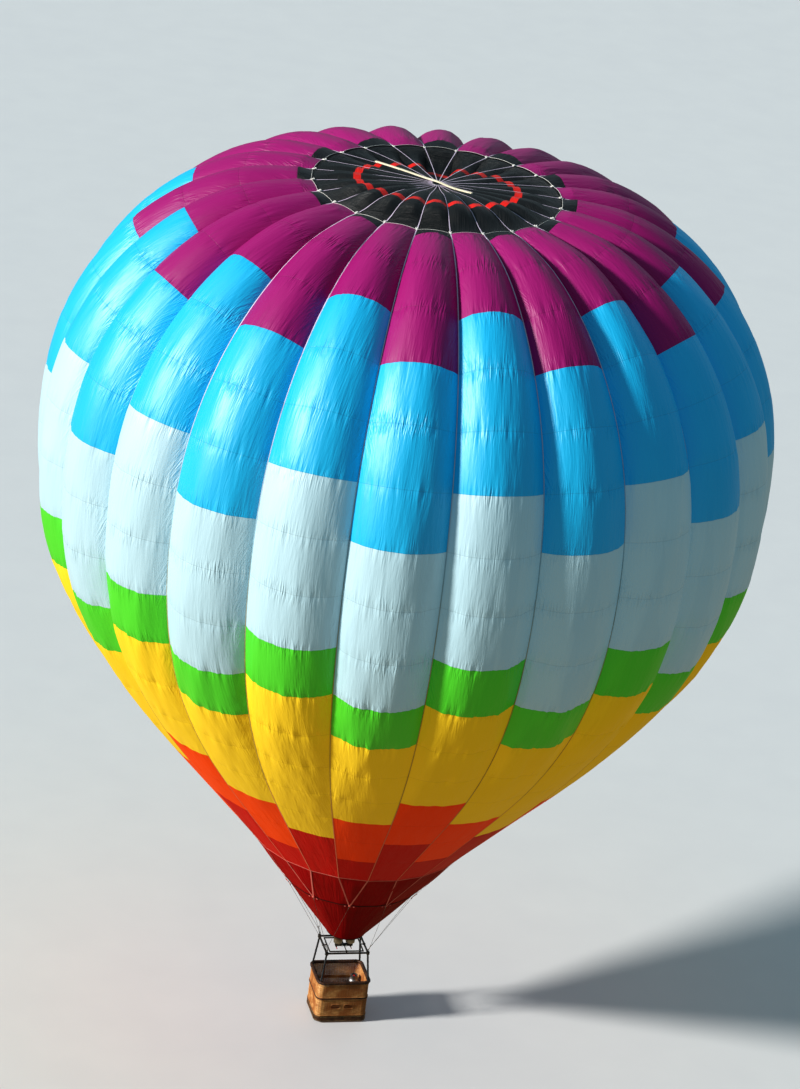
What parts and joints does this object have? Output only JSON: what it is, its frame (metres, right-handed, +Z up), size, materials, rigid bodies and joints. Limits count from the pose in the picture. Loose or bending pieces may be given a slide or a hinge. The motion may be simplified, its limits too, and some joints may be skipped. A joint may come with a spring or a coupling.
{
  "type": "hot air balloon",
  "caption": "Hot air balloon: striped lobed envelope with a parachute vent, tapered skirt, gimballed twin burner and wicker basket.",
  "frame": {"origin": "on the envelope's vertical axis, at the level of its widest seam, where its lift acts", "axes": "+Z up along the envelope's axis, +X along the basket's long side, +Y across the basket"},
  "size_m": [18.1524, 18.1524, 23.5112],
  "materials": {
    "envelope_fabric": "smooth coated ripstop nylon in bands of purple, blue, white, green, yellow, orange and red",
    "vent_fabric": "smooth black coated nylon with a red sewn ring",
    "skirt_fabric": "matt dark red heat resistant cloth",
    "webbing": "woven white polyester tape",
    "aluminium": "satin",
    "stainless_steel": "brushed, heat tinted at the coils",
    "wicker": "varnished woven willow and cane",
    "leather": "dark brown suede and rawhide, scuffed",
    "plywood": "varnished birch plywood and hardwood runners"
  },
  "bodies": {
    "root": {"gore_01": "envelope_fabric", "gore_02": "envelope_fabric", "gore_03": "envelope_fabric", "gore_04": "envelope_fabric", "gore_05": "envelope_fabric", "gore_06": "envelope_fabric", "gore_07": "envelope_fabric", "gore_08": "envelope_fabric", "gore_09": "envelope_fabric", "gore_10": "envelope_fabric", "gore_11": "envelope_fabric", "gore_12": "envelope_fabric", "gore_13": "envelope_fabric", "gore_14": "envelope_fabric", "gore_15": "envelope_fabric", "gore_16": "envelope_fabric", "gore_17": "envelope_fabric", "gore_18": "envelope_fabric", "gore_19": "envelope_fabric", "gore_20": "envelope_fabric", "gore_21": "envelope_fabric", "gore_22": "envelope_fabric", "gore_23": "envelope_fabric", "gore_24": "envelope_fabric", "load_tapes": "webbing", "vent_hem": "webbing", "mouth_hem": "webbing", "crown_ring": "aluminium", "skirt_upper": "skirt_fabric", "skirt_lower": "skirt_fabric", "suspension_1": "webbing", "suspension_2": "webbing", "suspension_3": "webbing", "suspension_4": "webbing", "burner_frame": "stainless_steel", "upright_1": "leather", "upright_2": "leather", "upright_3": "leather", "upright_4": "leather", "basket_wall": "wicker", "basket_rim": "leather", "basket_floor": "plywood", "basket_scuff": "leather", "skid_1": "plywood", "skid_2": "plywood", "skid_3": "plywood", "fuel_cylinder_1": "aluminium", "fuel_cylinder_2": "aluminium", "fuel_cylinder_3": "aluminium"},
    "vent": {"parachute_vent": "vent_fabric"},
    "gimbal": {"gimbal_ring": "stainless_steel"},
    "burner": {"burner_block": "stainless_steel", "burner_can_1": "stainless_steel", "burner_can_2": "stainless_steel", "burner_coil_1": "stainless_steel", "burner_coil_2": "stainless_steel"}
  },
  "joints": [
    {"name": "vent_slide", "type": "slide", "parent": "root", "child": "vent", "axis": [0, 0, 1], "range_m": [-1.5, 0], "stiffness_N_per_m": 150, "springref_m": 2.5},
    {"name": "gimbal_pitch", "type": "hinge", "parent": "root", "child": "gimbal", "pos_m": [0, 0, -14.17061], "axis": [1, 0, 0], "range_deg": [-15, 15]},
    {"name": "gimbal_roll", "type": "hinge", "parent": "gimbal", "child": "burner", "pos_m": [0, 0, -14.17061], "axis": [0, 1, 0], "range_deg": [-15, 15]}
  ]
}
